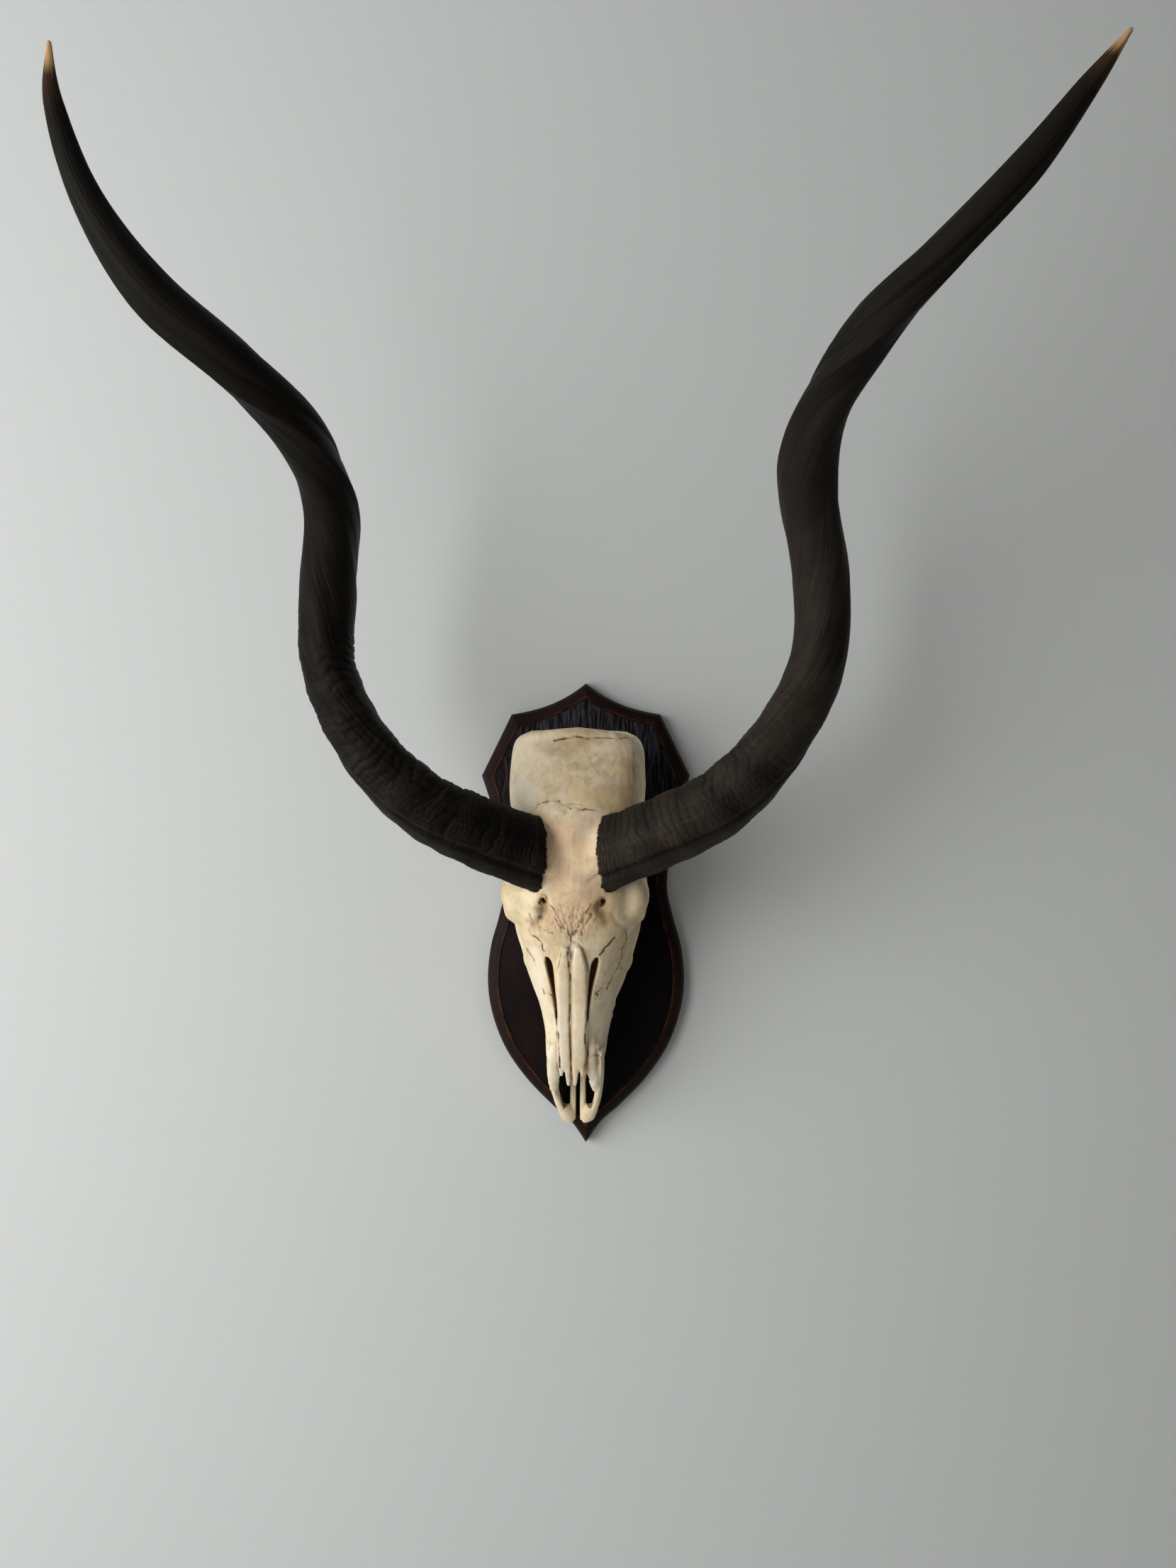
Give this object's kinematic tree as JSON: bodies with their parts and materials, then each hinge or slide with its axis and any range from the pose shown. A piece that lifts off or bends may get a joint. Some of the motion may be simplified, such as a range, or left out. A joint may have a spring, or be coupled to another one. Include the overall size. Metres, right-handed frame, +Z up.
{
  "type": "mounted antelope skull",
  "caption": "Greater kudu skull with long spiral horns, fixed face-out on a dark oak shield that hangs flat on a wall.",
  "frame": {"origin": "centre of the shield's flat back face, on the wall plane", "axes": "+Y into the wall, -Y out into the room, +Z up, +X towards the viewer's right"},
  "size_m": [0.8273, 0.4338, 0.9687],
  "materials": {
    "stained_oak": "dark stain, worn wax polish, open vertical grain",
    "bone": "dry, matte, fine crazing",
    "horn": "keratin, satin, fibrous with growth rings",
    "steel": "zinc plated"
  },
  "bodies": {
    "root": {"shield": "stained_oak", "skull": "bone", "left_horn": "horn", "right_horn": "horn", "upper_screw": "steel", "lower_screw": "steel"}
  },
  "joints": []
}
